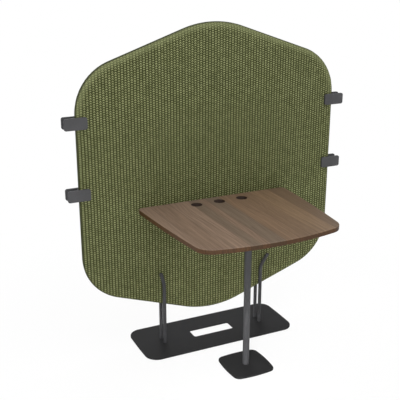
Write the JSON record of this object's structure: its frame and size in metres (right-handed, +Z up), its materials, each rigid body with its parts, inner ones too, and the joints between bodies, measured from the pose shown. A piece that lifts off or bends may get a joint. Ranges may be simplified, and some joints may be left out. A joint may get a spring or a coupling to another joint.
{
  "type": "desk with privacy screen",
  "caption": "Hexagonal fabric privacy screen held upright in a forked rod base, with a walnut work top on a round column and push-on clips that link it to like screens.",
  "frame": {"origin": "on the floor, below the middle of the screen's width and half way through its thickness", "axes": "+Z up, +X along the screen to the right of the person at the desk, -Y towards that person"},
  "size_m": [1.4716, 0.8264, 1.5998],
  "materials": {
    "green_fabric": "matte",
    "seam_tape": "matte",
    "frame_board": "matte",
    "infill_felt": "matte",
    "walnut": "satin",
    "anthracite_steel": "satin",
    "black_steel": "matte",
    "clip_aluminium": "matte",
    "screw_steel": "satin"
  },
  "bodies": {
    "desk_and_screen": {"base_plate": "black_steel", "column_foot_plate": "black_steel", "leg_rod_screws": "screw_steel", "screen_clamp_bolts": "screw_steel", "screen_clamp_sleeves": "screw_steel", "front_cover": "green_fabric", "rear_cover": "green_fabric", "edge_piping": "seam_tape", "screen_frame": "frame_board", "screen_infill_upper": "infill_felt", "screen_infill_lower": "infill_felt", "desk_top": "walnut", "desk_column": "anthracite_steel", "column_plug_lower": "screw_steel", "column_plug_upper": "screw_steel", "column_foot_screw": "screw_steel", "column_flange": "anthracite_steel", "column_flange_screw": "screw_steel", "column_desk_screws": "screw_steel", "desk_bracket_left": "anthracite_steel", "desk_bracket_right": "anthracite_steel", "bracket_desk_screws": "screw_steel", "bracket_screen_screws": "screw_steel", "leg_rod_front_left": "anthracite_steel", "leg_rod_rear_left": "anthracite_steel", "leg_rod_front_right": "anthracite_steel", "leg_rod_rear_right": "anthracite_steel"},
    "link_clip_upper_left": {"link_clip_upper_left_front_plate": "clip_aluminium", "link_clip_upper_left_rear_plate": "clip_aluminium", "link_clip_upper_left_spacer": "clip_aluminium", "link_clip_upper_left_screws": "screw_steel"},
    "link_clip_upper_right": {"link_clip_upper_right_front_plate": "clip_aluminium", "link_clip_upper_right_rear_plate": "clip_aluminium", "link_clip_upper_right_spacer": "clip_aluminium", "link_clip_upper_right_screws": "screw_steel"},
    "link_clip_lower_left": {"link_clip_lower_left_front_plate": "clip_aluminium", "link_clip_lower_left_rear_plate": "clip_aluminium", "link_clip_lower_left_spacer": "clip_aluminium", "link_clip_lower_left_screws": "screw_steel"},
    "link_clip_lower_right": {"link_clip_lower_right_front_plate": "clip_aluminium", "link_clip_lower_right_rear_plate": "clip_aluminium", "link_clip_lower_right_spacer": "clip_aluminium", "link_clip_lower_right_screws": "screw_steel"}
  },
  "joints": [
    {"name": "link_clip_upper_left_pull", "type": "slide", "parent": "desk_and_screen", "child": "link_clip_upper_left", "axis": [-1, 0, 0], "range_m": [0, 0.051]},
    {"name": "link_clip_upper_right_pull", "type": "slide", "parent": "desk_and_screen", "child": "link_clip_upper_right", "axis": [1, 0, 0], "range_m": [0, 0.051]},
    {"name": "link_clip_lower_left_pull", "type": "slide", "parent": "desk_and_screen", "child": "link_clip_lower_left", "axis": [-1, 0, 0], "range_m": [0, 0.051]},
    {"name": "link_clip_lower_right_pull", "type": "slide", "parent": "desk_and_screen", "child": "link_clip_lower_right", "axis": [1, 0, 0], "range_m": [0, 0.051]}
  ]
}
